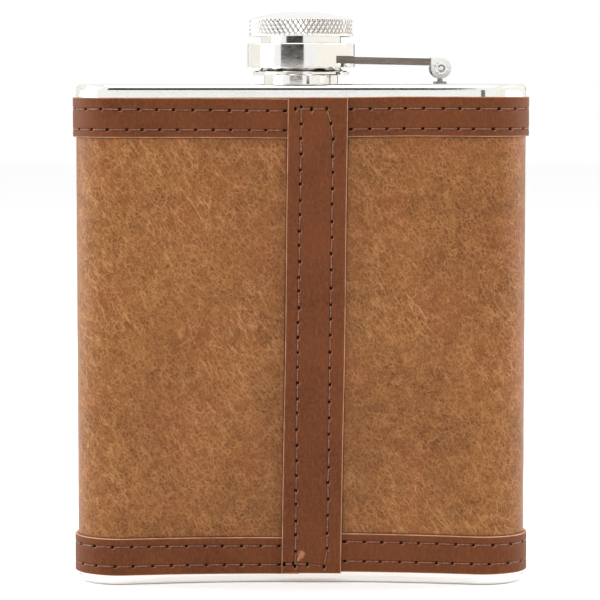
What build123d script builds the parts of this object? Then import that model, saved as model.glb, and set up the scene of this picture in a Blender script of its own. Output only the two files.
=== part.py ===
"""Hip flask wrapped in stitched leather, with a captive screw cap on a hinged arm.

Frame: millimetres, +Z up, the origin on the surface the flask stands on, straight below the
middle of the neck. X runs along the width and +X is the hinge side. The hollow back, where a
stitched strap closes the leather, faces -Y and the bowed front faces +Y.
"""

import os
from math import radians, sqrt, tan

from build123d import *

# ---- steel body ------------------------------------------------------------------------------
body_width = 93.4
body_height = 103.6
half_depth = 10.5  # from the neck's axis to the middle of the front and of the back
front_radius = 130.0  # the front bows out on this radius
back_radius = 185.0  # the back curves in on this radius
corner_radius = 9.0
sheet = 0.5  # steel sheet of the shoulder and the base
tube_wall = 0.6
gap = 0.05  # left between pieces that are welded, glued or sewn together
top_skirt = 2.6
base_skirt = 2.3
top_round = 1.2
base_round = 1.2
seam_width = 0.25  # the weld line that shows round both end caps
seam_depth = 0.2
seam_below_top = 1.7
seam_above_base = 1.45

# ---- leather ---------------------------------------------------------------------------------
leather = 0.5  # the tan wrap, let in flush with the end caps
band = 0.62  # the brown bands and the strap
top_band_height = 8.25
bottom_band_height = 7.65
strap_width = 12.4
strap_top_x = 3.55
strap_bottom_x = 2.2
strap = 0.65
butt = 0.4  # between the two ends of the wrap and of each band, under the strap
step_length = 0.7  # the strap's slope down from a band to the wrap
thread = 0.28
thread_width = 0.4
outer_row = 2.0  # from a band's outer edge to its first row
inner_row = 1.6
strap_row = 2.85  # from the strap's edges to its rows

# ---- neck, heights above the base ------------------------------------------------------------
shank_radius = 7.45
flange_radius = 9.2
flange_thickness = 0.8
collar_radius = 7.725
collar_top = 105.35
neck_radius = 6.2
neck_top = 113.6
mouth_radius = 5.3
mouth_chamfer = 0.3
pitch = 1.5
ridge = 0.6  # height of both threads' ridges
ridge_base = 0.8
ridge_crest = 0.3
ridge_root = 0.3  # sunk into the wall that carries the ridge
neck_thread_start = 107.9
neck_thread_turns = 3.25
cap_thread_turns = 2.9

# ---- screw cap -------------------------------------------------------------------------------
sleeve_radius = 8.3
sleeve_bore = 7.05
sleeve_ceiling = 114.9
sleeve_top = 115.7
lip_radius = 9.95
lip_bottom = 105.45
lip_thickness = 0.85
lip_flare = 0.6
head_radius = 10.9
head_bottom = 113.5
head_side_top = 116.65
dome_top = 118.6
washer_radius = 6.6
washer_bottom = 113.65
washer_thickness = 1.2

# ---- hinged arm ------------------------------------------------------------------------------
cup_radius = 11.2
cup_wall = 0.6
cup_hole = 8.85
cup_bottom = 107.15
cup_top = 112.1
hinge_x = 29.1
hinge_z = 106.9
eye_radius = 2.1
pin_radius = 0.8
pin_play = 0.05
pin_head_radius = 1.3
pin_head = 0.4
arm_thickness = 1.55
arm_slope = 1.2  # degrees that the arm climbs from the hinge to the cup
arm_width_at_cup = 17.0
arm_width_at_hinge = 11.0
curl_slit = 0.12
middle_knuckle = 3.7
knuckle_gap = 0.12
notch_depth = 3.2
stem_thickness = 0.9
foot_thickness = 0.5
foot_length = 2.6

# ---- worked out from the above ---------------------------------------------------------------
half_width = body_width / 2
wrap_low = base_skirt + gap
wrap_high = body_height - top_skirt - gap
wrap_height = wrap_high - wrap_low
top_band_low = wrap_high - top_band_height
bottom_band_high = wrap_low + bottom_band_height
band_in = gap
band_out = band_in + band
strap_on_band = band_out + gap
strap_peak = strap_on_band + strap
reach = body_width  # longer than anything it has to cut through

neck_axis = Axis.Z
side_view = Plane.XZ  # x stays x, the sketch's y is the height, the normal points to the back
hinge_view = Plane(origin=(hinge_x, 0, hinge_z), x_dir=(1, 0, 0), z_dir=(0, -1, 0))


def outline(grow):
    """The flask's kidney-shaped plan, grown all round (or shrunk, if negative).

    Every arc keeps its centre as it grows, so the grown plan is exactly parallel to the first.
    """
    side = half_width + grow
    back_edge = sqrt((back_radius - grow) ** 2 - side**2) - half_depth - back_radius
    front_edge = sqrt((front_radius + grow) ** 2 - side**2) + half_depth - front_radius
    with BuildSketch() as plan:
        with BuildLine():
            ThreePointArc((-side, back_edge), (0, -half_depth - grow), (side, back_edge))
            Line((side, back_edge), (side, front_edge))
            ThreePointArc((side, front_edge), (0, half_depth + grow), (-side, front_edge))
            Line((-side, front_edge), (-side, back_edge))
        make_face()
        fillet(plan.vertices(), corner_radius + grow)
    return plan.sketch


def loop(inner, outer, low, high):
    """A closed wall round the plan, between two growths and two heights."""
    with BuildPart() as wall:
        with BuildSketch(Plane.XY.offset(low)):
            add(outline(outer))
            add(outline(inner), mode=Mode.SUBTRACT)
        extrude(amount=high - low)
    return wall.part


def strap_slab(width, low, high):
    """A slab behind the neck that leans as the strap does, between two heights."""
    lean = (strap_top_x - strap_bottom_x) / wrap_height
    low_x = strap_bottom_x + lean * (low - wrap_low)
    high_x = strap_bottom_x + lean * (high - wrap_low)
    with BuildPart() as slab:
        with BuildSketch(side_view):
            with BuildLine():
                Polyline(
                    (low_x - width / 2, low),
                    (low_x + width / 2, low),
                    (high_x + width / 2, high),
                    (high_x - width / 2, high),
                    close=True,
                )
            make_face()
        extrude(amount=reach)
    return slab.part


def turned(profile):
    """A solid turned about the neck's axis from (radius, height) points."""
    with BuildPart() as solid:
        with BuildSketch(side_view):
            with BuildLine():
                Polyline(*profile, close=True)
            make_face()
        revolve(axis=neck_axis)
    return solid.part


def screw_ridge(radius, height, start, turns):
    """A right-hand ridge on the neck's axis. A negative height makes an inner thread."""
    root = -ridge_root if height > 0 else ridge_root
    root_half = ridge_base / 2 + (ridge_base - ridge_crest) / 2 * ridge_root / ridge
    with BuildPart() as helical:
        with BuildLine() as path:
            Helix(pitch=pitch, height=pitch * turns, radius=radius, center=(0, 0, start))
        with BuildSketch(Plane(path.line @ 0, x_dir=(1, 0, 0), z_dir=path.line % 0)):
            with BuildLine():
                Polyline(
                    (root, -root_half),
                    (height, -ridge_crest / 2),
                    (height, ridge_crest / 2),
                    (root, root_half),
                    close=True,
                )
            make_face()
        sweep(path=path.line, is_frenet=True)
    return helical.part


def end_cap(low, high, rounded_face, rounding, seam_z):
    """A pressed end: a plate with a rounded rim, a skirt, and a weld line round the rim."""
    seam_cut = loop(-seam_depth, 1, seam_z - seam_width / 2, seam_z + seam_width / 2)
    with BuildPart() as tray:
        with BuildSketch(Plane.XY.offset(low)):
            add(outline(0))
        extrude(amount=high - low)
        faces = tray.faces().sort_by(Axis.Z)
        fillet(faces[rounded_face].edges(), rounding)
        open_face = tray.faces().sort_by(Axis.Z)[-1 - rounded_face]
        offset(amount=-sheet, openings=open_face)
        add(seam_cut, mode=Mode.SUBTRACT)
    return tray.part


# ==== steel body ==============================================================================

with BuildPart() as body_tube:
    tube_out = -sheet - gap
    add(loop(tube_out - tube_wall, tube_out, base_round + gap, body_height - top_round - gap))

with BuildPart() as shoulder_tray:
    add(end_cap(body_height - top_skirt, body_height, -1, top_round, body_height - seam_below_top))
    with BuildSketch(Plane.XY.offset(body_height - top_skirt)):
        Circle(shank_radius + gap)
    extrude(amount=top_skirt, mode=Mode.SUBTRACT)

with BuildPart() as base_tray:
    add(end_cap(0, base_skirt, 0, base_round, seam_above_base))

with BuildPart() as threaded_neck:
    flange_top = body_height - sheet - gap
    add(
        turned(
            [
                (mouth_radius, flange_top - flange_thickness),
                (flange_radius, flange_top - flange_thickness),
                (flange_radius, flange_top),
                (shank_radius, flange_top),
                (shank_radius, body_height + gap),
                (collar_radius, body_height + gap),
                (collar_radius, collar_top),
                (neck_radius, collar_top),
                (neck_radius, neck_top - mouth_chamfer),
                (neck_radius - mouth_chamfer, neck_top),
                (mouth_radius, neck_top),
            ]
        )
    )
    add(screw_ridge(neck_radius, ridge, neck_thread_start, neck_thread_turns))

# ==== leather =================================================================================

with BuildPart() as leather_wrap:
    add(loop(-leather, 0, wrap_low, wrap_high))
    add(strap_slab(butt, wrap_low - 1, wrap_high + 1), mode=Mode.SUBTRACT)

with BuildPart() as top_band:
    add(loop(band_in, band_out, top_band_low, wrap_high))
    add(strap_slab(butt, top_band_low - 1, wrap_high + 1), mode=Mode.SUBTRACT)

with BuildPart() as bottom_band:
    add(loop(band_in, band_out, wrap_low, bottom_band_high))
    add(strap_slab(butt, wrap_low - 1, bottom_band_high + 1), mode=Mode.SUBTRACT)


over_bottom = bottom_band_high + gap
over_top = top_band_low - gap
with BuildPart() as seam_strap:
    add(loop(gap, strap_peak, wrap_low, wrap_high))
    add(strap_slab(strap_width, wrap_low, wrap_high), mode=Mode.INTERSECT)
    add(loop(-1, strap_on_band, wrap_low - 1, over_bottom), mode=Mode.SUBTRACT)
    add(loop(-1, strap_on_band, over_top, wrap_high + 1), mode=Mode.SUBTRACT)
    between = loop(gap + strap, strap_peak + 1, over_bottom + step_length, over_top - step_length)
    add(between, mode=Mode.SUBTRACT)


def band_thread(row):
    """A row of stitches round a band, open where the strap lies on it."""
    low = row - thread_width / 2
    high = row + thread_width / 2
    with BuildPart() as stitches:
        add(loop(band_out + gap, band_out + gap + thread, low, high))
        add(strap_slab(strap_width + 2 * gap, low - 1, high + 1), mode=Mode.SUBTRACT)
    return stitches.part


with BuildPart() as top_band_thread_upper:
    add(band_thread(wrap_high - outer_row))

with BuildPart() as top_band_thread_lower:
    add(band_thread(top_band_low + inner_row))

with BuildPart() as bottom_band_thread_upper:
    add(band_thread(bottom_band_high - inner_row))

with BuildPart() as bottom_band_thread_lower:
    add(band_thread(wrap_low + outer_row))


def strap_thread(side):
    """A row of stitches along one side of the strap, where side is -1 for left and 1 for right.

    Beside the neck's axis the strap is nearly flat, so the row is a leaning slice of a loop.
    """
    row_low = wrap_low + outer_row
    row_high = wrap_high - outer_row
    offset_x = side * (strap_width / 2 - strap_row)
    wide = strap_slab(2 * abs(offset_x) + thread_width, row_low, row_high)
    narrow = strap_slab(2 * abs(offset_x) - thread_width, row_low - 1, row_high + 1)
    half_x = (strap_top_x + strap_bottom_x) / 2
    with BuildPart() as stitches:
        add(loop(strap_peak + gap, strap_peak + gap + thread, row_low, row_high))
        add(wide, mode=Mode.INTERSECT)
        add(narrow, mode=Mode.SUBTRACT)
        split(bisect_by=Plane.YZ.offset(half_x), keep=Keep.TOP if side > 0 else Keep.BOTTOM)
    return stitches.part


with BuildPart() as strap_thread_left:
    add(strap_thread(-1))

with BuildPart() as strap_thread_right:
    add(strap_thread(1))

# ==== screw cap ===============================================================================

with BuildPart() as knurled_head:
    with BuildSketch(side_view):
        with BuildLine():
            Line((0, head_bottom), (head_radius, head_bottom))
            Line((head_radius, head_bottom), (head_radius, head_side_top))
            TangentArc((0, dome_top), (head_radius, head_side_top), tangent=(1, 0))
            Line((0, dome_top), (0, head_bottom))
        make_face()
    revolve(axis=neck_axis)
    circles = knurled_head.edges().filter_by(GeomType.CIRCLE)
    fillet(circles.filter_by(lambda e: abs(e.radius - head_radius) < gap), 0.3)
    with BuildSketch(Plane.XY.offset(head_bottom)):
        Circle(sleeve_radius + gap)
    extrude(amount=sleeve_top + gap - head_bottom, mode=Mode.SUBTRACT)

with BuildPart() as threaded_sleeve:
    lip_top = lip_bottom + lip_thickness
    lip_edge = 0.2
    add(
        turned(
            [
                (0, sleeve_ceiling),
                (sleeve_bore, sleeve_ceiling),
                (sleeve_bore, lip_bottom),
                (lip_radius - lip_edge, lip_bottom),
                (lip_radius, lip_bottom + lip_edge),
                (lip_radius, lip_top - lip_edge),
                (lip_radius - lip_edge, lip_top),
                (sleeve_radius + 0.8, lip_top + 0.08 * lip_flare),
                (sleeve_radius + 0.3, lip_top + 0.35 * lip_flare),
                (sleeve_radius, lip_top + lip_flare),
                (sleeve_radius, sleeve_top),
                (0, sleeve_top),
            ]
        )
    )
    add(screw_ridge(sleeve_bore, -ridge, neck_thread_start + pitch / 2, cap_thread_turns))

with BuildPart() as seal_washer:
    with BuildSketch(Plane.XY.offset(washer_bottom)):
        Circle(washer_radius)
    extrude(amount=washer_thickness)
    chamfer(seal_washer.edges(), 0.15)

# ==== hinged arm ==============================================================================

with BuildPart() as retaining_cup:
    add(
        turned(
            [
                (cup_hole, cup_top),
                (cup_radius, cup_top),
                (cup_radius, cup_bottom),
                (cup_radius - cup_wall, cup_bottom),
                (cup_radius - cup_wall, cup_top - cup_wall),
                (cup_hole, cup_top - cup_wall),
            ]
        )
    )
    cup_rims = retaining_cup.edges().filter_by(GeomType.CIRCLE).sort_by(SortBy.RADIUS)[-2:]
    fillet(cup_rims.sort_by(Axis.Z)[-1], 0.4)

with BuildPart() as hinge_arm:
    strip_length = hinge_x
    climb = strip_length * tan(radians(arm_slope))
    arm_under = eye_radius - arm_thickness
    eye_bore = pin_radius + pin_play
    with BuildSketch(hinge_view):
        Circle(eye_radius)
        with BuildLine():
            Polyline(
                (0, eye_radius),
                (-strip_length, eye_radius + climb),
                (-strip_length, arm_under + climb),
                (0, arm_under),
                close=True,
            )
        make_face()
        Circle(eye_bore, mode=Mode.SUBTRACT)
        with BuildLine():
            Polyline(
                (-eye_bore / 2, arm_under - curl_slit),
                (-eye_radius - 1, arm_under - curl_slit),
                (-eye_radius - 1, arm_under),
                (-eye_bore / 2, arm_under),
                close=True,
            )
        make_face(mode=Mode.SUBTRACT)
    extrude(amount=arm_width_at_cup / 2, both=True)
    with BuildSketch(Plane.XY.offset(hinge_z - eye_radius)):
        with BuildLine():
            Polyline(
                (0, -arm_width_at_cup / 2),
                (cup_radius, -arm_width_at_cup / 2),
                (hinge_x - eye_radius, -arm_width_at_hinge / 2),
                (hinge_x + eye_radius, -arm_width_at_hinge / 2),
                (hinge_x + eye_radius, arm_width_at_hinge / 2),
                (hinge_x - eye_radius, arm_width_at_hinge / 2),
                (cup_radius, arm_width_at_cup / 2),
                (0, arm_width_at_cup / 2),
                close=True,
            )
        make_face()
    extrude(amount=3 * eye_radius, mode=Mode.INTERSECT)
    with BuildSketch(Plane.XY.offset(hinge_z - eye_radius)):
        Circle(cup_radius + gap)
        with Locations((hinge_x - notch_depth + eye_radius, 0)):
            Rectangle(2 * notch_depth, middle_knuckle + 2 * knuckle_gap)
    extrude(amount=3 * eye_radius, mode=Mode.SUBTRACT)
    long_edges = hinge_arm.edges().filter_by(lambda e: e.length > hinge_x / 3).group_by(Axis.Z)[-1]
    fillet(long_edges, 0.2)

with BuildPart() as hinge_bracket:
    foot_z = body_height + gap - hinge_z
    with BuildSketch(hinge_view):
        Circle(eye_radius)
        with Locations((0, (foot_z - pin_radius) / 2)):
            Rectangle(stem_thickness, -foot_z - pin_radius)
        with Locations((0, foot_z + foot_thickness / 2)):
            Rectangle(foot_length, foot_thickness)
        Circle(pin_radius + gap, mode=Mode.SUBTRACT)
    extrude(amount=middle_knuckle / 2, both=True)
    corners = hinge_bracket.edges().filter_by(Axis.Y).group_by(Axis.Z)
    fillet(corners[1], 0.2)

with BuildPart() as hinge_pin:
    pin_half = arm_width_at_hinge / 2 + pin_play
    with BuildSketch(hinge_view):
        Circle(pin_radius)
    extrude(amount=pin_half + pin_head / 2, both=True)
    for end in (-1, 1):
        with BuildSketch(hinge_view.offset(end * pin_half)):
            Circle(pin_head_radius)
        extrude(amount=end * pin_head)
    head_edges = hinge_pin.edges().filter_by(GeomType.CIRCLE).group_by(Axis.Y)
    fillet(head_edges[0] + head_edges[-1], 0.25)

# ==== one file for each piece =================================================================

pieces = {
    "body_tube": body_tube,
    "shoulder_tray": shoulder_tray,
    "base_tray": base_tray,
    "threaded_neck": threaded_neck,
    "leather_wrap": leather_wrap,
    "top_band": top_band,
    "bottom_band": bottom_band,
    "seam_strap": seam_strap,
    "top_band_thread_upper": top_band_thread_upper,
    "top_band_thread_lower": top_band_thread_lower,
    "bottom_band_thread_upper": bottom_band_thread_upper,
    "bottom_band_thread_lower": bottom_band_thread_lower,
    "strap_thread_left": strap_thread_left,
    "strap_thread_right": strap_thread_right,
    "hinge_bracket": hinge_bracket,
    "hinge_pin": hinge_pin,
    "hinge_arm": hinge_arm,
    "retaining_cup": retaining_cup,
    "seal_washer": seal_washer,
    "knurled_head": knurled_head,
    "threaded_sleeve": threaded_sleeve,
}
os.makedirs("parts", exist_ok=True)
for name, piece in pieces.items():
    piece.part.label = name
    export_step(piece.part, f"parts/{name}.step")
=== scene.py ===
"""Looks of a leather-wrapped hip flask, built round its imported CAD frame. Metres throughout.

+Z is up and +X is the hinge side. The hollow back with the stitched strap faces -Y and the camera.
A place on the flask's wall is given by u, the way along its plan from the middle of the back
(growing towards +X), by z, the height, and by an offset outwards from the wrap's surface.
"""

from math import atan2, ceil, pi, radians, sqrt

import bpy
import numpy as np
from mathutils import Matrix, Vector


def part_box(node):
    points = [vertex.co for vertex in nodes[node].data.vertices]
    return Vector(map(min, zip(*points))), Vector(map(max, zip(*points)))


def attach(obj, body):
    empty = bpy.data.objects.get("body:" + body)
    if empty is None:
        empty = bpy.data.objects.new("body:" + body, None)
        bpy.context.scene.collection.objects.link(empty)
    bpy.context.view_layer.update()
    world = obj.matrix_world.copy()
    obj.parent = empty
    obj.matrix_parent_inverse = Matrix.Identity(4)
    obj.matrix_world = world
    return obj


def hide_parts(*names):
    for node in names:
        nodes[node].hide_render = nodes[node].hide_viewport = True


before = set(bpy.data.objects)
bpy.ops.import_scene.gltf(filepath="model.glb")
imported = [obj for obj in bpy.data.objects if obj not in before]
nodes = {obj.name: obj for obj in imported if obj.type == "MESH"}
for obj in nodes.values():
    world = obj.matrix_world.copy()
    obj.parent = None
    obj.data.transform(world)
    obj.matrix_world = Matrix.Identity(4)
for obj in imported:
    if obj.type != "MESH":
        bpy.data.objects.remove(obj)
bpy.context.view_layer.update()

MM = 0.001
SHARP = 40  # degrees between two faces, beyond which their edge isn't smoothed
random = np.random.default_rng(7)

# ---- the flask's plan ------------------------------------------------------------------------
FRONT_RADIUS = 130 * MM
BACK_RADIUS = 185 * MM
CORNER_RADIUS = 9 * MM
PLAN_STEP = 0.05 * MM
wrap_min, wrap_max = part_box("leather_wrap")
half_width = wrap_max.x
half_depth = wrap_max.y

# ---- leather ---------------------------------------------------------------------------------
WRAP = 0.5 * MM
GLUE = 0.05 * MM
LEATHER = 0.62 * MM
STRAP = 0.65 * MM
STRAP_WIDTH = 12.4 * MM
STRAP_TOP_X = 3.55 * MM
STRAP_BOTTOM_X = 2.2 * MM
BUTT = 0.4 * MM  # between the two ends of the wrap and of each band
EDGE_ROUND = 0.16 * MM  # on each cut edge
EDGE_LINES = np.array([0.03, 0.07, 0.12, 0.18]) * MM  # the mesh's lines on the rounding
EDGE_PALE = (0.03 * MM, 0.2 * MM)  # a cut edge's paleness starts to fade and ends
STEP = 6.0 * MM  # the strap's slope from a band down to the wrap
LOWERED = 0.1 * MM  # the leather's top edge lies this far below the end cap's skirt
STRAP_ABOVE = 0.05 * MM  # the strap's ends against the wrap's
STRAP_BELOW = 0.25 * MM
band_out = GLUE + LEATHER
strap_low = GLUE + STRAP
strap_high = band_out + GLUE + STRAP

# ---- stitches --------------------------------------------------------------------------------
BAND_PITCH = 3.75 * MM
STRAP_LEFT_PITCH = 3.15 * MM
STRAP_RIGHT_PITCH = 3.4 * MM
HOLE_LONG = 0.46 * MM  # half of a needle hole's length
HOLE_WIDE = 0.28 * MM  # half of its width
HOLE_DEPTH = 0.5 * MM
HOLE_SCALES = (0.9, 1.12)  # smallest and largest
LIP_HEIGHT = 0.04 * MM  # the rim a needle raises
HOLE_LINES = 0.08 * MM  # spacing of the mesh's lines at a hole
CHANNEL_DEPTH = 0.13 * MM
CHANNEL_WIDTH = 0.28 * MM
PLY = 0.08 * MM  # radius of one ply, and how far its middle lies from the thread's
TWIST = 1.3 * MM  # length of one turn of the two plies
THREAD_SINK = 0.3 * MM  # how deep the ends of a stitch dive
THREAD_SHORT = 0.3 * MM  # each stitch ends this far from the middles of its two holes
FIRST_HOLE = 0.7 * MM  # from the strap's edge to a band's nearest hole

# ---- knurled head ----------------------------------------------------------------------------
KNURLS = 64
KNURL_HEIGHT = 1.65 * MM  # height of one diamond
KNURL_DEPTH = 0.3 * MM
HEAD_SIDE = 1.95 * MM  # from the dome's top down to the top of the knurled side
HEAD_BORE = 8.35 * MM  # radius of the bore for the cap's tube
HEAD_BORE_TOP = 115.75 * MM

# ---- hinge -----------------------------------------------------------------------------------
EYE_LENGTH = 4.3 * MM  # from the hinge's end of the arm back to where the flat strip starts
PEEN_RING = 0.62 * MM  # radius of the mark that peening left on the pin
PIN_EDGE = 1.15 * MM  # beyond this radius the pin's end is dark

# ---- camera, about level with the neck -------------------------------------------------------
CAMERA_X = -0.2 * MM
CAMERA_Z = 104.5 * MM
CAMERA_AWAY = 0.6
AIM_Z = 58.25 * MM
LENS = 171.4  # millimetres, as Blender counts it

# ==== helpers =================================================================================


def linear(red, green, blue):
    """An 8-bit display colour as the linear colour that a shader takes."""
    shares = [c / 255 for c in (red, green, blue)]
    return tuple(c / 12.92 if c <= 0.04045 else ((c + 0.055) / 1.055) ** 2.4 for c in shares) + (1.0,)


def smoothstep(low, high, value):
    t = np.clip((value - low) / (high - low), 0, 1)
    return t * t * (3 - 2 * t)


def plan_table(step):
    """Length, x, y and the outward normal at close steps along the plan, once round."""
    back = np.array([0, -half_depth - BACK_RADIUS])
    front = np.array([0, half_depth - FRONT_RADIUS])
    corner_x = half_width - CORNER_RADIUS
    back_y = back[1] + sqrt((BACK_RADIUS + CORNER_RADIUS) ** 2 - corner_x**2)
    front_y = front[1] + sqrt((FRONT_RADIUS - CORNER_RADIUS) ** 2 - corner_x**2)
    back_turn = atan2(back_y - back[1], corner_x)
    front_turn = atan2(front_y - front[1], corner_x)
    corner_back = np.array([corner_x, back_y])
    corner_front = np.array([corner_x, front_y])
    arcs = [
        (back, BACK_RADIUS, pi / 2, back_turn, -1),
        (corner_back, CORNER_RADIUS, back_turn - pi, 0, 1),
        (corner_front, CORNER_RADIUS, 0, front_turn, 1),
        (front, FRONT_RADIUS, front_turn, pi / 2, 1),
    ]
    rows = []
    for centre, radius, start, end, outward in arcs:
        turns = np.linspace(start, end, max(3, ceil(radius * abs(end - start) / step)))
        way = np.stack([np.cos(turns), np.sin(turns)], 1)
        rows.append(np.hstack([centre + radius * way, outward * way]))
    right = np.vstack(rows)
    left = right[::-1] * [-1, 1, -1, 1]
    ring = np.vstack([right, left[1:]])
    lengths = np.concatenate([[0], np.cumsum(np.linalg.norm(np.diff(ring[:, :2], axis=0), axis=1))])
    return lengths, ring


plan_lengths, plan_ring = plan_table(PLAN_STEP)
plan_length = plan_lengths[-1]


def on_wall(u, z, offset):
    """Points (..., 3) at u along the plan, z high and offset outwards, and the outward normals."""
    around = np.mod(u, plan_length)
    x, y, nx, ny = (np.interp(around, plan_lengths, column) for column in plan_ring.T)
    points = np.stack([x + nx * offset, y + ny * offset, z + 0 * x], -1)
    return points, np.stack([nx, ny, 0 * x], -1)


def make_object(name, points, faces, material, attributes=None):
    """A mesh object from points and faces, smooth but for its sharp edges."""
    mesh = bpy.data.meshes.new(name)
    mesh.from_pydata(points.tolist(), [], faces)
    for key, values in (attributes or {}).items():
        layer = mesh.attributes.new(key, "FLOAT", "POINT")
        layer.data.foreach_set("value", np.asarray(values, np.float32))
    mesh.polygons.foreach_set("use_smooth", np.ones(len(mesh.polygons), bool))
    mesh.set_sharp_from_angle(angle=radians(SHARP))
    mesh.materials.append(material)
    mesh.update()
    made = bpy.data.objects.new(name, mesh)
    bpy.context.scene.collection.objects.link(made)
    return made


def quads(columns, rows, wrap_round, base=0, flip=False):
    """Faces of a grid of points stored column by column."""
    last = columns if wrap_round else columns - 1
    faces = []
    for i in range(last):
        a = base + i * rows
        b = base + ((i + 1) % columns) * rows
        for j in range(rows - 1):
            face = (a + j, b + j, b + j + 1, a + j + 1)
            faces.append(face[::-1] if flip else face)
    return faces


def shell(name, u, z, outer, inner, material, attributes):
    """A closed strip of leather on the wall, from grids of u, z, outer and inner offsets."""
    columns, rows = u.shape
    outside = on_wall(u, z, outer)[0].reshape(-1, 3)
    inside = on_wall(u, z, inner)[0].reshape(-1, 3)
    count = columns * rows
    faces = quads(columns, rows, False) + quads(columns, rows, False, count, True)
    for j, flip in ((0, False), (rows - 1, True)):
        for i in range(columns - 1):
            a, b = i * rows + j, (i + 1) * rows + j
            face = (a, a + count, b + count, b)
            faces.append(face[::-1] if flip else face)
    for i, flip in ((0, True), (columns - 1, False)):
        for j in range(rows - 1):
            a, b = i * rows + j, i * rows + j + 1
            face = (a, a + count, b + count, b)
            faces.append(face[::-1] if flip else face)
    both = {key: np.concatenate([v.ravel(), v.ravel()]) for key, v in attributes.items()}
    return make_object(name, np.vstack([outside, inside]), faces, material, both)


def grid_lines(low, high, step, centres=(), half=0.6 * MM, fine=0.1 * MM):
    """Values from low to high, step apart, and finer near each centre."""
    spread = np.arange(-ceil(half / fine), ceil(half / fine) + 1) * fine
    parts = [np.linspace(low, high, ceil((high - low) / step) + 1)]
    parts += [centre + spread for centre in centres]
    values = np.unique(np.clip(np.concatenate(parts), low, high))
    kept = [values[0]]
    for value in values[1:-1]:
        if value - kept[-1] > 0.6 * fine and values[-1] - value > 0.6 * fine:
            kept.append(value)
    return np.array(kept + [values[-1]])


def pits(u, z, holes, along_u):
    """How deep each grid point lies in a needle hole (0 to 1), and how much on the raised lip round one,
    which is also painted as a highlight.
    """
    depth = np.zeros_like(u)
    lip_and_highlight = np.zeros_like(u)
    half_u, half_z = (HOLE_LONG, HOLE_WIDE) if along_u else (HOLE_WIDE, HOLE_LONG)
    for hole_u, hole_z, scale in holes:
        across, down = (u - hole_u) / (half_u * scale), (z - hole_z) / (half_z * scale)
        far = np.hypot(across, down)
        depth = np.maximum(depth, 1 - smoothstep(0.7, 1.1, far))
        # Lips rise only on the lower right of each hole, where they are also painted pale as a
        # highlight.
        lower_right = np.clip((across - down) / (far + 0.1), 0, 1.4) / 1.4
        lip_and_highlight = np.maximum(lip_and_highlight, lower_right**2 * np.exp(-(((far - 1.35) / 0.25) ** 2)))
    return depth, lip_and_highlight


def jittered(low, high, pitch):
    """Places about a pitch apart, as a sewing machine on thick leather spaces them."""
    count = round((high - low) / pitch)
    places = np.linspace(low, high, count + 1)
    places[1:-1] += random.uniform(-0.08, 0.08, count - 1) * pitch
    return places


def stitches(name, holes, surface, material, replaced):
    """Two-ply thread that dives into each needle hole, as one piece for each row of stitches.

    holes is a list of (u, z) and surface gives the leather's offset at (u, z).
    """
    sides, steps = 6, 18
    t = np.linspace(0, 1, steps)
    turns = np.linspace(0, 2 * pi, sides, endpoint=False)
    points, faces = [], []
    for (u0, z0), (u1, z1) in zip(holes[:-1], holes[1:]):
        short = THREAD_SHORT / np.hypot(u1 - u0, z1 - z0)
        way = short + (1 - 2 * short) * t
        u = u0 + (u1 - u0) * way
        z = z0 + (z1 - z0) * way
        height = -THREAD_SINK * np.abs(2 * t - 1) ** 12
        height += random.normal(0, 0.015) * MM * np.sin(pi * t)
        centre, normal = on_wall(u, z, surface(u, z) + height)
        forward = np.gradient(centre, axis=0)
        forward /= np.linalg.norm(forward, axis=1)[:, None]
        across = np.cross(forward, normal)
        across /= np.linalg.norm(across, axis=1)[:, None]
        up = np.cross(across, forward)
        length = np.hypot(u1 - u0, z1 - z0)
        phase = random.uniform(0, 2 * pi)
        for ply in (0, pi):
            lay = phase + ply + 2 * pi * length * t / TWIST
            middle = centre + PLY * (np.cos(lay)[:, None] * up + np.sin(lay)[:, None] * across)
            ring = np.cos(turns)[None, :, None] * up[:, None]
            ring = ring + np.sin(turns)[None, :, None] * across[:, None]
            base = sum(len(p) for p in points)
            points.append((middle[:, None] + PLY * 1.08 * ring).reshape(-1, 3))
            for i in range(steps - 1):
                for j in range(sides):
                    k = (j + 1) % sides
                    a, b = base + i * sides, base + (i + 1) * sides
                    faces.append((a + j, a + k, b + k, b + j))
            faces.append(tuple(base + j for j in reversed(range(sides))))
            faces.append(tuple(base + (steps - 1) * sides + j for j in range(sides)))
    made = make_object(name, np.vstack(points), faces, material)
    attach(made, "flask")
    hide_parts(replaced)
    return made


def lathe(name, profile, columns, material, shape):
    """A solid turned about the Z axis from (radius, height) points that start and end on it.

    shape gives each point's final radius from its radius, height and turn.
    """
    turn = np.linspace(0, 2 * pi, columns, endpoint=False)
    inner = np.array(profile[1:-1])
    plain_radius = np.repeat(inner[None, :, 0], columns, 0)
    height = np.repeat(inner[None, :, 1], columns, 0)
    radius = shape(plain_radius, height, turn[:, None])
    groove = np.append((plain_radius - radius).ravel() / KNURL_DEPTH, [0, 0])
    x, y = radius * np.cos(turn)[:, None], radius * np.sin(turn)[:, None]
    points = np.stack([x, y, height], -1).reshape(-1, 3)
    rows = len(inner)
    ends = np.array([[0, 0, profile[0][1]], [0, 0, profile[-1][1]]])
    faces = quads(columns, rows, True)
    for i in range(columns):
        k = (i + 1) % columns
        faces.append((columns * rows, k * rows, i * rows))
        faces.append((columns * rows + 1, i * rows + rows - 1, k * rows + rows - 1))
    return make_object(name, np.vstack([points, ends]), faces, material, {"groove": groove})


# ==== materials ===============================================================================


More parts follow.
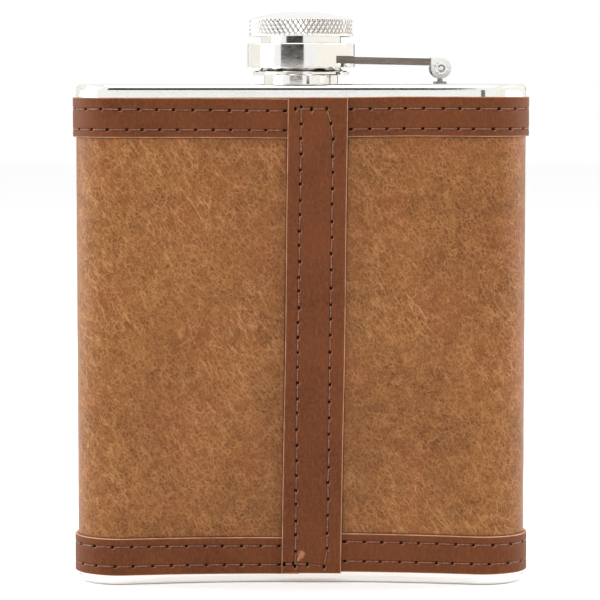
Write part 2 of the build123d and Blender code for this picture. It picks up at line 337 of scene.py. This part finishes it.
class Shader:
    """A material's node tree, with short calls to add nodes and link them."""

    def __init__(self, name):
        self.material = bpy.data.materials.new(name)
        self.material.use_nodes = True
        self.tree = self.material.node_tree
        self.surface = self.tree.nodes["Principled BSDF"]
        self.place = self.tree.nodes.new("ShaderNodeTexCoord")

    def node(self, kind, inputs=(), **settings):
        made = self.tree.nodes.new("ShaderNode" + kind)
        for key, value in settings.items():
            setattr(made, key, value)
        for key, value in dict(inputs).items():
            self.give(made, key, value)
        return made

    def give(self, node, key, value):
        if isinstance(value, bpy.types.NodeSocket):
            self.tree.links.new(value, node.inputs[key])
        else:
            node.inputs[key].default_value = value

    def set(self, **values):
        for key, value in values.items():
            self.give(self.surface, key.replace("_", " "), value)

    def math(self, operation, a, b=0.0):
        return self.node("Math", {0: a, 1: b}, operation=operation).outputs[0]

    def stretched(self, x, y, z, bend=0.0, bend_scale=30.0):
        """Object coordinates scaled along each axis, and optionally bent by noise."""
        where = self.place.outputs["Object"]
        if bend:
            noise = self.node("TexNoise", {"Vector": where, "Scale": bend_scale, "Detail": 2.0})
            centred = {0: noise.outputs["Color"], 1: (0.5, 0.5, 0.5)}
            push = self.node("VectorMath", centred, operation="SUBTRACT")
            scaled = self.node("VectorMath", {0: push.outputs[0], "Scale": bend}, operation="SCALE")
            where = self.node("VectorMath", {0: where, 1: scaled.outputs[0]}).outputs[0]
        return self.node("Mapping", {"Vector": where, "Scale": (x, y, z)}).outputs[0]

    def turned(self, turn, x, y, z, where=None):
        """Coordinates turned about Y by an angle, then measured in lengths x, y and z."""
        where = where or self.place.outputs["Object"]
        inputs = {"Vector": where, "Rotation": (0, turn, 0), "Scale": (x, y, z)}
        return self.node("Mapping", inputs, vector_type="TEXTURE").outputs[0]

    def ridges(self, value, width):
        """Thin lines where a noise passes its middle value."""
        return self.ramp(self.math("ABSOLUTE", self.math("SUBTRACT", value, 0.5)), 0.0, width, 1.0, 0.0)

    def attribute(self, name):
        return self.node("Attribute", attribute_name=name).outputs["Fac"]

    def noise(self, where, scale, detail=3.0, roughness=0.5):
        inputs = {"Vector": where, "Scale": scale, "Detail": detail, "Roughness": roughness}
        return self.node("TexNoise", inputs).outputs["Fac"]

    def cell_edges(self, where):
        """How far each place lies from the border of its cell."""
        inputs = {"Vector": where, "Scale": 1.0}
        return self.node("TexVoronoi", inputs, feature="DISTANCE_TO_EDGE").outputs["Distance"]

    def ramp(self, value, low, high, to_low=0.0, to_high=1.0):
        inputs = {"Value": value, "From Min": low, "From Max": high, "To Min": to_low, "To Max": to_high}
        return self.node("MapRange", inputs).outputs[0]

    def mix(self, share, a, b):
        made = self.node("Mix", data_type="RGBA")
        for index, value in ((0, share), (6, a), (7, b)):
            self.give(made, index, value)
        return made.outputs[2]

    def bump(self, height, distance, strength):
        inputs = {"Height": height, "Distance": distance, "Strength": strength}
        return self.node("Bump", inputs).outputs[0]


def steel(name, rough=0.09):
    """Polished stainless steel with fine rubbing marks and a few soft smudges."""
    tone, wear = 0.93, 0.05
    s = Shader(name)
    rubbed = s.noise(s.stretched(900, 900, 5200, 0.004), 1.0, 4.0, 0.6)
    smudge = s.noise(s.stretched(1, 1, 1), 160, 3.0)
    rubbing = s.ramp(rubbed, 0.35, 0.75, rough * 0.6, rough + wear)
    roughness = s.math("ADD", rubbing, s.ramp(smudge, 0.5, 0.75, 0, wear))
    clean = (tone, tone * 0.985, tone * 0.95, 1)
    dull = (tone * 0.94, tone * 0.93, tone * 0.9, 1)
    tint = s.mix(smudge, clean, dull)
    s.set(Base_Color=tint, Metallic=1.0, Roughness=roughness)
    s.set(Normal=s.bump(rubbed, 0.004 * MM, 0.5))
    return s


def knurled_steel(name):
    """The cap's steel, with painted grey shade down in the knurl's grooves."""
    s = steel(name)
    shiny = s.surface.inputs["Base Color"].links[0].from_socket
    # Painted shade: the knurl's grooves are painted grey, the deeper parts darker.
    sunk_and_shaded = s.math("MULTIPLY", s.math("POWER", s.attribute("groove"), 1.2), 0.85)
    s.set(Base_Color=s.mix(sunk_and_shaded, shiny, linear(96, 88, 78)))
    return s.material


def hinge_steel(name):
    """The arm's steel: polished on its broad faces, dull and grey where the strip was sheared."""
    s = steel(name, rough=0.12)
    sides = s.node("SeparateXYZ", {0: s.place.outputs["Normal"]}).outputs["Y"]
    along = s.node("SeparateXYZ", {0: s.place.outputs["Object"]}).outputs["X"]
    eye_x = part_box("hinge_arm")[1].x - EYE_LENGTH
    facing = s.ramp(s.math("ABSOLUTE", sides), 0.8, 0.95)
    cut = s.math("MULTIPLY", facing, s.ramp(along, eye_x, eye_x + 0.2 * MM, 1, 0))
    streaks = s.noise(s.stretched(300, 300, 2600), 1.0, 4.0, 0.7)
    grey = s.mix(streaks, linear(70, 62, 55), linear(150, 140, 130))
    polished = s.surface.inputs["Base Color"].links[0].from_socket
    shiny = s.surface.inputs["Roughness"].links[0].from_socket
    rough = s.node("Mix", {0: cut, 2: shiny, 3: 0.42}).outputs[0]
    s.set(Base_Color=s.mix(cut, polished, grey), Roughness=rough)
    return s


def pin_steel(name):
    """The pin's steel, with the dark broken rings its peening left on its ends."""
    s = steel(name)
    low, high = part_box("hinge_pin")
    middle = (low + high) / 2
    ends = {0: s.place.outputs["Object"], 1: middle}
    offset = s.node("VectorMath", ends, operation="SUBTRACT").outputs[0]
    part = s.node("SeparateXYZ", {0: offset})
    squares = [s.math("POWER", part.outputs[axis], 2.0) for axis in "XZ"]
    far = s.math("SQRT", s.math("ADD", *squares))
    broken = s.ramp(s.noise(s.stretched(1, 0, 1), 900, 2.0), 0.42, 0.56)
    from_ring = s.math("ABSOLUTE", s.math("SUBTRACT", far, PEEN_RING))
    inner = s.ramp(from_ring, 0.08 * MM, 0.2 * MM, 1, 0)
    outer = s.ramp(far, PIN_EDGE, PIN_EDGE + 0.15 * MM)
    rings = s.math("MAXIMUM", s.math("MULTIPLY", inner, broken), s.math("MULTIPLY", outer, 0.85))
    shiny = s.surface.inputs["Base Color"].links[0].from_socket
    s.set(Base_Color=s.mix(s.math("MULTIPLY", rings, 0.9), shiny, linear(52, 46, 40)))
    return s.material


def tan_leather():
    """Waxed leather: mottled tan, fine fibrous grain, a net of pale veins, creases in patches."""
    s = Shader("tan_leather")
    here = s.stretched(1, 1, 1, 0.002, 200)
    slant = radians(-33)
    cloud = s.ramp(s.noise(here, 45, 3.0, 0.5), 0.35, 0.65)
    blotch = s.noise(here, 330, 3.0, 0.6)
    fibre = s.noise(s.turned(slant, 0.3 * MM, 0.4 * MM, 0.46 * MM), 1.0, 3.0, 0.62)
    veins = s.ridges(s.noise(s.turned(slant, 0.9 * MM, 1.2 * MM, 2.4 * MM), 1.0, 2.0, 0.5), 0.035)
    cross = s.ridges(s.noise(s.turned(radians(50), 0.8 * MM, 1.2 * MM, 1.7 * MM), 1.0, 2.0, 0.5), 0.03)
    long = s.ridges(s.noise(s.turned(slant, 2.4 * MM, 5 * MM, 11 * MM), 1.0, 3.0, 0.5), 0.016)
    dark = s.mix(cloud, linear(80, 40, 8), linear(93, 52, 13))
    light = s.mix(cloud, linear(124, 76, 33), linear(138, 89, 42))
    tone = s.math("ADD", s.math("MULTIPLY", fibre, 0.7), s.math("MULTIPLY", blotch, 0.3))
    colour = s.mix(s.ramp(tone, 0.395, 0.605), dark, light)
    ruddy = s.ramp(s.noise(here, 75, 2.0), 0.48, 0.64, 0, 0.5)
    colour = s.mix(ruddy, colour, linear(122, 64, 30))
    bent = s.stretched(1, 1, 1, 0.0009, 900)
    net = s.ramp(s.cell_edges(s.turned(slant, 0.9 * MM, 1.2 * MM, 1.5 * MM, bent)), 0.01, 0.13, 1, 0)
    small = s.turned(slant, 0.45 * MM, 0.6 * MM, 0.7 * MM, bent)
    fine_net = s.ramp(s.cell_edges(small), 0.02, 0.2, 1, 0)
    here_and_there = s.ramp(s.noise(here, 420, 2.0), 0.4, 0.62, 0.1, 1.0)
    colour = s.mix(s.math("MULTIPLY", fine_net, 0.18), colour, linear(158, 104, 58))
    net = s.math("MULTIPLY", net, here_and_there)
    colour = s.mix(s.math("MULTIPLY", net, 0.5), colour, linear(174, 120, 74))
    patches = s.ramp(s.noise(s.stretched(1, 1, 1), 40, 2.0), 0.4, 0.62)
    veined = s.math("MULTIPLY", veins, s.ramp(patches, 0, 1, 0.2, 0.5))
    colour = s.mix(veined, colour, linear(170, 120, 74))
    colour = s.mix(s.math("MULTIPLY", cross, 0.32), colour, linear(166, 116, 70))
    creased = s.math("MULTIPLY", long, s.ramp(patches, 0, 1, 0.1, 0.65))
    colour = s.mix(creased, colour, linear(178, 130, 86))
    # Painted shade: the wrap is darkened along the edges of the bands and the strap, and faintly beside
    # the strap.
    painted_shade = s.math("MULTIPLY", s.attribute("painted_crevice_shade"), 0.85)
    colour = s.mix(painted_shade, colour, linear(50, 20, 8))
    s.set(Base_Color=colour, Roughness=s.ramp(fibre, 0.3, 0.7, 0.3, 0.44))
    s.set(Specular_IOR_Level=0.2)
    height = s.math("ADD", tone, s.math("MULTIPLY", veins, 0.25))
    height = s.math("ADD", height, s.math("MULTIPLY", long, 0.3))
    s.set(Normal=s.bump(height, 0.05 * MM, 0.5))
    return s.material


def brown_leather():
    """Mid-brown leather, smoother than the wrap, pale where it's cut, with painted shade that blackens
    its needle holes and darkens its stitch channels, and a painted highlight on each hole's lip.
    """
    s = Shader("brown_leather")
    here = s.stretched(1, 1, 1, 0.002, 200)
    cloud = s.noise(here, 70, 3.0, 0.5)
    fine = s.noise(here, 1500, 4.0, 0.62)
    fibre = s.noise(s.stretched(2600, 2600, 700), 1.0, 3.0, 0.6)
    colour = s.mix(s.ramp(cloud, 0.35, 0.65), linear(83, 40, 15), linear(98, 51, 22))
    colour = s.mix(s.ramp(fine, 0.38, 0.66, 0, 0.5), colour, linear(111, 62, 33))
    colour = s.mix(s.ramp(fibre, 0.48, 0.7, 0, 0.4), colour, linear(121, 70, 40))
    rubbed = s.ramp(s.noise(here, 900, 4.0, 0.7), 0.38, 0.55, 0.35, 1.0)
    colour = s.mix(s.math("MULTIPLY", s.attribute("scuff"), rubbed), colour, linear(176, 118, 84))
    worn = s.math("MULTIPLY", s.attribute("edge"), s.ramp(s.noise(here, 300, 3.0), 0.25, 0.6, 0.4, 1.0))
    colour = s.mix(worn, colour, linear(204, 154, 120))
    # Painted highlight: the lip on each needle hole's lower right is painted paler.
    colour = s.mix(s.math("MULTIPLY", s.attribute("lip_and_highlight"), 0.75), colour, linear(178, 128, 104))
    # Painted shade: the stitch channels are painted darker.
    colour = s.mix(s.math("MULTIPLY", s.attribute("groove"), 0.5), colour, linear(56, 20, 10))
    # Painted shade: the needle holes are painted near black.
    colour = s.mix(s.ramp(s.attribute("sunk_and_shaded"), 0.1, 0.5), colour, linear(14, 3, 2))
    s.set(Base_Color=colour, Roughness=s.ramp(fine, 0.3, 0.7, 0.42, 0.56))
    s.set(Specular_IOR_Level=0.15)
    height = s.math("ADD", fine, s.math("MULTIPLY", fibre, 0.5))
    s.set(Normal=s.bump(height, 0.035 * MM, 0.5))
    return s.material


def thread_cotton():
    """Waxed brown thread with paler fibres."""
    s = Shader("brown_thread")
    fibre = s.noise(s.stretched(2200, 2200, 2200), 1.0, 3.0, 0.6)
    colour = s.mix(s.ramp(fibre, 0.35, 0.7), linear(96, 52, 30), linear(166, 114, 82))
    s.set(Base_Color=colour, Roughness=0.5, Sheen_Weight=0.25, Sheen_Roughness=0.4)
    s.set(Normal=s.bump(fibre, 0.02 * MM, 0.6))
    return s.material


def washer_rubber():
    s = Shader("seal_rubber")
    speckle = s.noise(s.stretched(1, 1, 1), 700, 3.0)
    s.set(Base_Color=s.mix(speckle, linear(214, 210, 200), linear(232, 229, 221)), Roughness=0.6)
    s.set(Normal=s.bump(speckle, 0.02 * MM, 0.4))
    return s.material


tan = tan_leather()
brown = brown_leather()
cotton = thread_cotton()
polished = steel("polished_steel").material

# ==== leather =================================================================================

top_min, top_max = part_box("top_band")
bottom_min, bottom_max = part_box("bottom_band")
top_max.z -= LOWERED
wrap_low, wrap_high = wrap_min.z, wrap_max.z - LOWERED
strap_lean = (STRAP_TOP_X - STRAP_BOTTOM_X) / (wrap_high - wrap_low)


def strap_x(z):
    """The middle of the strap at a height. On the hollow back, u and x are all but equal."""
    return STRAP_BOTTOM_X + strap_lean * (z - wrap_low)


def waves(u, z, size, height):
    """A soft unevenness: a few crossed waves about size apart."""
    total = 0 * u
    for _ in range(6):
        turn, phase = random.uniform(0, pi), random.uniform(0, 2 * pi)
        length = random.uniform(0.7, 1.4) * size
        total = total + np.sin(2 * pi * (np.cos(turn) * u + np.sin(turn) * z) / length + phase)
    return total * height / 6


def rounded(distance, radius):
    """How far a cut edge's rounding drops the surface, this far in from the edge."""
    inside = np.clip(1 - distance / radius, 0, 1)
    return radius * (1 - np.sqrt(1 - inside**2 * 0.98))


def ring_grid(u_lines, z_lines, seam_z):
    """Grids of u and z round the flask, from one side of the seam to the other."""
    share = (u_lines - u_lines[0]) / (u_lines[-1] - u_lines[0])
    u, z = np.meshgrid(u_lines, z_lines, indexing="ij")
    lean = strap_x(z) - strap_x(seam_z)
    fade = smoothstep(0.9, 1.0, share) + 1 - smoothstep(0.0, 0.1, share)
    return u + lean * fade[:, None], z


def drift(u, z):
    """How far the bands were laid askew: they run in lower left of the strap than right of it."""
    way = np.mod(u, plan_length)
    right, left = np.exp(-way / (55 * MM)), np.exp((way - plan_length) / (55 * MM))
    low_band = 0.5 * MM * (right * smoothstep(wrap_low, wrap_low + 1.5 * MM, z) - left)
    clear = smoothstep(STRAP_WIDTH / 2, 2 * STRAP_WIDTH, way)
    high_band = 0.05 * MM + 0.3 * MM * right * clear - 0.3 * MM * left**2
    return np.where(z < (wrap_low + wrap_high) / 2, low_band, high_band)


def make_wrap():
    middle = (wrap_low + wrap_high) / 2
    start = strap_x(middle) + BUTT / 2
    strap_edge = STRAP_WIDTH / 2
    beside = [strap_x(middle) + strap_edge, strap_x(middle) - strap_edge + plan_length]
    u_lines = grid_lines(start, start + plan_length - BUTT, 0.8 * MM, beside, half=0.5 * MM)
    z_lines = grid_lines(wrap_low, wrap_high, 0.8 * MM, [bottom_max.z, top_min.z], half=1.2 * MM)
    u, z = ring_grid(u_lines, z_lines, middle)
    inland = np.minimum(z - wrap_low, wrap_high - z)
    relief = waves(u, z, 11 * MM, 0.035 * MM) * smoothstep(9 * MM, 16 * MM, inland)
    from_strap = np.minimum(np.abs(u - strap_x(z)), np.abs(u - strap_x(z) - plan_length)) - strap_edge
    over_low = z - bottom_max.z - drift(u, bottom_max.z)
    from_bands = np.minimum(over_low, top_min.z + drift(u, top_min.z) - z)
    from_leather = np.minimum(np.abs(from_strap), np.abs(from_bands))
    # Painted shade: a narrow dark line along the edges of the bands and the strap, and a faint broad one
    # each side of the strap.
    painted_crevice_shade = np.exp(-((np.maximum(from_leather, 0) / (0.22 * MM)) ** 2))
    painted_crevice_shade = np.maximum(painted_crevice_shade, 0.17 * np.exp(-((from_strap / (7 * MM)) ** 2)))
    made = shell("leather_wrap_skin", u, z, relief, relief * 0 - WRAP, tan, {"painted_crevice_shade": painted_crevice_shade})
    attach(made, "flask")
    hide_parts("leather_wrap")
    return made


def make_band(node, span, rows):
    """A brown edge band with rows of needle holes, and the thread in each row.

    span is the band's lowest and highest z, and rows gives each thread's height and pitch.
    """
    low, high = span
    middle = (low + high) / 2
    start = strap_x(middle) + BUTT / 2
    end = start + plan_length - BUTT
    first = strap_x(middle) + STRAP_WIDTH / 2 + FIRST_HOLE
    last = strap_x(middle) - STRAP_WIDTH / 2 - FIRST_HOLE + plan_length
    row_holes = {}
    for thread, (row, pitch) in rows.items():
        places = jittered(first, last, pitch)
        heights = row + waves(places, places * 0, 60 * MM, 0.16 * MM)
        row_holes[thread] = [(u, z, random.uniform(*HOLE_SCALES)) for u, z in zip(places, heights)]
    holes = [hole for row in row_holes.values() for hole in row]
    u_lines = grid_lines(start, end, 0.5 * MM, [hole[0] for hole in holes], fine=HOLE_LINES)
    row_levels = [row for row, _ in rows.values()]
    z_lines = grid_lines(low, high, 0.4 * MM, row_levels, half=0.8 * MM, fine=HOLE_LINES)
    z_lines = np.unique(np.concatenate([z_lines, low + EDGE_LINES, high - EDGE_LINES]))
    u, z = ring_grid(u_lines, z_lines, middle)
    inland = np.minimum(z - low, high - z)
    sunk_and_shaded, lip_and_highlight = pits(u, z, holes, True)
    channel = 0 * u
    for row in row_holes.values():
        line = np.interp(u, [hole[0] for hole in row], [hole[1] for hole in row])
        channel = np.maximum(channel, np.exp(-(((z - line) / CHANNEL_WIDTH) ** 2)))
    outer = band_out - rounded(inland, EDGE_ROUND) - CHANNEL_DEPTH * channel - HOLE_DEPTH * sunk_and_shaded
    outer += LIP_HEIGHT * lip_and_highlight * (1 - channel) + waves(u, z, 8 * MM, 0.02 * MM)
    edge = 1 - smoothstep(*EDGE_PALE, inland)
    z = z + drift(u, z)
    marks = {"sunk_and_shaded": sunk_and_shaded, "lip_and_highlight": lip_and_highlight, "edge": edge, "groove": channel, "scuff": 0 * u}
    made = shell(node + "_leather", u, z, outer, 0 * u + GLUE, brown, marks)
    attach(made, "flask")
    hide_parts(node)

    def channel_floor(u, z):
        return band_out - CHANNEL_DEPTH

    for thread, row in row_holes.items():
        path = [(u, z + drift(u, z)) for u, z, _ in row]
        stitches(thread + "_stitches", path, channel_floor, cotton, thread)
    return made


def strap_offset(z):
    """The strap's outer face: high over the bands and down on the wrap between them."""
    over_bottom = 1 - smoothstep(bottom_max.z + 0.1 * MM, bottom_max.z + 0.1 * MM + STEP, z)
    over_top = smoothstep(top_min.z - 0.1 * MM - STEP, top_min.z - 0.1 * MM, z)
    return strap_low + (strap_high - strap_low) * np.maximum(over_bottom, over_top)


def make_strap():
    half = STRAP_WIDTH / 2
    strap_foot, strap_top = wrap_low - STRAP_BELOW, wrap_high + STRAP_ABOVE
    # The left row runs straight down. The right one starts across the top, comes down the right
    # side and turns back to the left at the foot.
    left_x, right_x = -3.45 * MM, 3.2 * MM
    top_row, bottom_row = strap_top - 2.35 * MM, strap_foot + 1.85 * MM
    left_heights = jittered(strap_top - 2.05 * MM, strap_foot + 1.6 * MM, -STRAP_LEFT_PITCH)
    left = [(left_x, z) for z in left_heights]
    across = [(x, top_row) for x in (-4.65 * MM, -1.25 * MM, 1.8 * MM)]
    down = [(right_x - 0.5 * MM, top_row - 3.0 * MM)]
    right_heights = jittered(top_row - 6.2 * MM, bottom_row + 3.4 * MM, -STRAP_RIGHT_PITCH)
    down += [(right_x, z) for z in right_heights]
    back = [(2.7 * MM, bottom_row - 0.35 * MM), (-0.9 * MM, bottom_row + 0.1 * MM)]
    back += [(-3.7 * MM, bottom_row + 0.2 * MM), (-5.7 * MM, bottom_row + 0.1 * MM)]
    right = across + down + back

    def placed(path):
        wander = random.uniform(-0.09, 0.09, len(path)) * MM
        return [(strap_x(z) + x + w, z) for (x, z), w in zip(path, wander)]

    left, right = placed(left), placed(right)
    holes = [(u, z, random.uniform(*HOLE_SCALES)) for u, z in left + right]
    columns = [left_x, right_x, -4.5 * MM, -0.9 * MM, 1.8 * MM, 2.6 * MM]
    local = grid_lines(-half, half, 0.5 * MM, columns, fine=HOLE_LINES)
    local = np.unique(np.concatenate([local, EDGE_LINES - half, half - EDGE_LINES]))
    z_lines = grid_lines(strap_foot, strap_top, 0.5 * MM, [hole[1] for hole in holes], fine=HOLE_LINES)
    z_lines = np.unique(np.concatenate([z_lines, strap_foot + EDGE_LINES, strap_top - EDGE_LINES]))
    x, z = np.meshgrid(local, z_lines, indexing="ij")
    u = strap_x(z) + x + waves(0 * x, z, 45 * MM, 0.12 * MM)
    inland = np.minimum(half - np.abs(x), np.minimum(z - strap_foot, strap_top - z))
    sunk_and_shaded, lip_and_highlight = pits(u, z, holes, False)
    channel = 0 * u
    for path in (left, right):
        for (u0, z0), (u1, z1) in zip(path[:-1], path[1:]):
            along = np.array([u1 - u0, z1 - z0])
            t = np.clip(((u - u0) * along[0] + (z - z0) * along[1]) / (along @ along), 0, 1)
            far = np.hypot(u - u0 - t * along[0], z - z0 - t * along[1])
            channel = np.maximum(channel, np.exp(-((far / CHANNEL_WIDTH) ** 2)))
    face = strap_offset(z)
    outer = face - rounded(inland, EDGE_ROUND) - CHANNEL_DEPTH * channel - HOLE_DEPTH * sunk_and_shaded
    outer += LIP_HEIGHT * lip_and_highlight * (1 - channel) + waves(u, z, 9 * MM, 0.03 * MM)
    edge = 1 - smoothstep(*EDGE_PALE, inland)
    # A rubbed place near the foot, shaped like a small fan.
    beside, above = x + 3.1 * MM, z - bottom_row - 0.5 * MM
    fan = np.abs(np.arctan2(above, beside) - radians(58))
    scuff = 1 - smoothstep(radians(14), radians(24), fan)
    scuff *= 1 - smoothstep(2.3 * MM, 2.9 * MM, np.hypot(beside, above))
    marks = {"sunk_and_shaded": sunk_and_shaded, "lip_and_highlight": lip_and_highlight, "edge": edge, "groove": channel, "scuff": scuff}
    made = shell("seam_strap_leather", u, z, outer, face - STRAP, brown, marks)
    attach(made, "flask")
    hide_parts("seam_strap")

    def channel_floor(u, z):
        return strap_offset(z) - CHANNEL_DEPTH

    stitches("strap_thread_left_stitches", left, channel_floor, cotton, "strap_thread_left")
    stitches("strap_thread_right_stitches", right, channel_floor, cotton, "strap_thread_right")


wrap = make_wrap()
top_band = make_band(
    "top_band",
    (top_min.z, top_max.z),
    {
        "top_band_thread_upper": (top_max.z - 2.45 * MM, BAND_PITCH),
        "top_band_thread_lower": (top_min.z + 1.6 * MM, BAND_PITCH * 0.97),
    },
)
bottom_band = make_band(
    "bottom_band",
    (bottom_min.z, bottom_max.z),
    {
        "bottom_band_thread_upper": (bottom_max.z - 1.75 * MM, BAND_PITCH * 1.02),
        "bottom_band_thread_lower": (bottom_min.z + 1.9 * MM, BAND_PITCH),
    },
)
make_strap()

# ==== knurled head ============================================================================


def knurl(radius, height, turn):
    """Two families of V grooves that cross on the rim and leave a diamond knurl."""
    low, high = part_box("knurled_head")
    rim = smoothstep(low.z + 0.1 * MM, low.z + 0.5 * MM, height)
    rim = rim * (1 - smoothstep(high.z - 1.8 * MM, high.z - 1.3 * MM, height))
    on_rim = smoothstep(high.x - 0.9 * MM, high.x - 0.35 * MM, radius)
    around = turn * KNURLS / (2 * pi)
    rise = height / KNURL_HEIGHT
    first = np.abs(np.mod(around + rise, 1) - 0.5) * 2
    second = np.abs(np.mod(around - rise, 1) - 0.5) * 2
    groove = np.clip(np.maximum(first, second) - 0.12, 0, 1)
    return radius - KNURL_DEPTH * groove * rim * on_rim


def make_head():
    low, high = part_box("knurled_head")
    radius, bottom, top = high.x, low.z, high.z
    side_top = top - HEAD_SIDE
    edge = 0.28 * MM
    profile = [(0, HEAD_BORE_TOP), (HEAD_BORE * 0.5, HEAD_BORE_TOP)]
    profile += [(HEAD_BORE, HEAD_BORE_TOP), (HEAD_BORE, bottom)]
    profile += [(radius - edge * 2, bottom), (radius - edge, bottom)]
    turns = np.linspace(-pi / 2, 0, 6)[1:]
    profile += [(radius - edge + edge * np.cos(t), bottom + edge + edge * np.sin(t)) for t in turns]
    profile += [(radius, z) for z in np.linspace(bottom + edge, side_top, 34)[1:]]
    round_over = 0.5 * MM
    turns = np.linspace(0, pi / 2 - 0.28, 8)[1:]
    middle = radius - round_over
    profile += [(middle + round_over * np.cos(t), side_top + round_over * np.sin(t)) for t in turns]
    shoulder_r, shoulder_z = profile[-1]
    shares = np.linspace(0, 1, 16)[1:]
    profile += [(shoulder_r * (1 - t), top - (top - shoulder_z) * (1 - t) ** 2) for t in shares]
    profile[-1] = (0, top)
    made = lathe("knurled_head_grip", profile, KNURLS * 12, knurled_steel("knurled_steel"), knurl)
    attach(made, "cap")
    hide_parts("knurled_head")


make_head()

# ==== steel pieces that keep their CAD shape ==================================================

materials = {
    "body_tube": polished,
    "shoulder_tray": polished,
    "base_tray": polished,
    "threaded_neck": polished,
    "threaded_sleeve": polished,
    "retaining_cup": polished,
    "hinge_bracket": polished,
    "hinge_pin": pin_steel("pin_steel"),
    "hinge_arm": hinge_steel("hinge_steel").material,
    "seal_washer": washer_rubber(),
}
for name, material in materials.items():
    nodes[name].data.materials.clear()
    nodes[name].data.materials.append(material)

# ==== stage, light and camera =================================================================

FLOOR = 3.0


def plain(name, colour):
    s = Shader(name)
    s.set(Base_Color=colour, Roughness=0.9, Specular_IOR_Level=0.1)
    return s.material


def flat_card(name, corners, material):
    mesh = bpy.data.meshes.new(name)
    mesh.from_pydata([Vector(c) for c in corners], [], [(0, 1, 2, 3)])
    mesh.materials.append(material)
    made = bpy.data.objects.new(name, mesh)
    bpy.context.scene.collection.objects.link(made)
    return made


def upright(along, across, low, high, faces_x=False):
    """The corners of an upright card: its two ends along one axis, its place on the other."""
    first, last = along
    ends = [(across, first), (across, last)] if faces_x else [(first, across), (last, across)]
    return [(*ends[0], low), (*ends[1], low), (*ends[1], high), (*ends[0], high)]


def make_stage():
    floor_corners = [(-FLOOR, -FLOOR, 0), (FLOOR, -FLOOR, 0), (FLOOR, FLOOR, 0), (-FLOOR, FLOOR, 0)]
    flat_card("floor", floor_corners, plain("floor_white", (0.97, 0.97, 0.97, 1)))
    # The cards show in glossy reflections only. The camera, shadows and diffuse light miss them.
    pale = plain("card_pale", (0.6, 0.58, 0.54, 1))
    dark = plain("card_dark", (0.03, 0.028, 0.026, 1))
    grey = plain("card_grey", (0.42, 0.42, 0.42, 1))
    brown_grey = plain("card_brown", (0.14, 0.12, 0.1, 1))
    near_y, far_y, side_x = -90 * MM, 0.6, 0.12
    foot, side_foot, side_top = 103.9 * MM, 101 * MM, 190 * MM
    cards = {
        # The dark streak on the cap and the cup, the paler one on the neck, and the hinge's stem.
        "dark_card": (upright((-80 * MM, 9 * MM), near_y, 108.1 * MM, 168.1 * MM), dark),
        "neck_card": (upright((-60 * MM, 6 * MM), near_y, foot, 106.6 * MM), brown_grey),
        "stem_card": (upright((27 * MM, 42 * MM), near_y, 98 * MM, 105.4 * MM), dark),
        # These keep the softboxes out of the cap, but for a bright strip on its left.
        "left_card": (upright((4 * MM, 0.21), -side_x, side_foot, side_top, True), pale),
        "right_card": (upright((-0.18, 0.21), side_x, side_foot, side_top, True), pale),
        # Far behind, for the outer edges of the cap and the cup.
        "edge_card": (upright((-10 * MM, 240 * MM), far_y, 70 * MM, 165 * MM), dark),
        "grey_card": (upright((-0.9, -10 * MM), far_y, -50 * MM, 200 * MM), grey),
    }
    for name, (corners, material) in cards.items():
        card = flat_card(name, corners, material)
        card.visible_camera = False
        card.visible_shadow = False
        card.visible_diffuse = False


def softbox(name, place, aim, width, height, power):
    light = bpy.data.lights.new(name, "AREA")
    light.shape = "RECTANGLE"
    light.size, light.size_y = width, height
    light.energy = power
    made = bpy.data.objects.new(name, light)
    made.location = place
    made.rotation_euler = (Vector(aim) - Vector(place)).to_track_quat("-Z", "Y").to_euler()
    bpy.context.scene.collection.objects.link(made)
    return made


def make_light():
    middle = (0, 0, 0.06)
    side_x, side_y, side_z = 0.7, 0.05, 0.35
    softbox("left_softbox", (-side_x, side_y, side_z), middle, 1.0, 0.8, 5.5)
    softbox("right_softbox", (side_x, side_y, side_z), middle, 1.0, 0.8, 4.5)
    softbox("top_softbox", (0, -0.2, 0.9), middle, 0.7, 0.7, 1.5)
    world = bpy.data.worlds.new("white_room")
    bpy.context.scene.world = world
    world.use_nodes = True
    world.node_tree.nodes["Background"].inputs["Color"].default_value = (1, 1, 1, 1)
    world.node_tree.nodes["Background"].inputs["Strength"].default_value = 1.0
    bpy.context.scene.view_settings.view_transform = "Standard"


def make_camera():
    """In front of the hollow back and tilted down a little."""
    camera = bpy.data.cameras.new("camera")
    camera.lens = LENS
    camera.sensor_width = 36
    camera.clip_start = 0.01
    made = bpy.data.objects.new("camera", camera)
    made.location = (CAMERA_X, -CAMERA_AWAY, CAMERA_Z)
    aim = Vector((CAMERA_X, 0, AIM_Z))
    made.rotation_euler = (aim - made.location).to_track_quat("-Z", "Y").to_euler()
    bpy.context.scene.collection.objects.link(made)
    bpy.context.scene.camera = made


make_stage()
make_light()
make_camera()
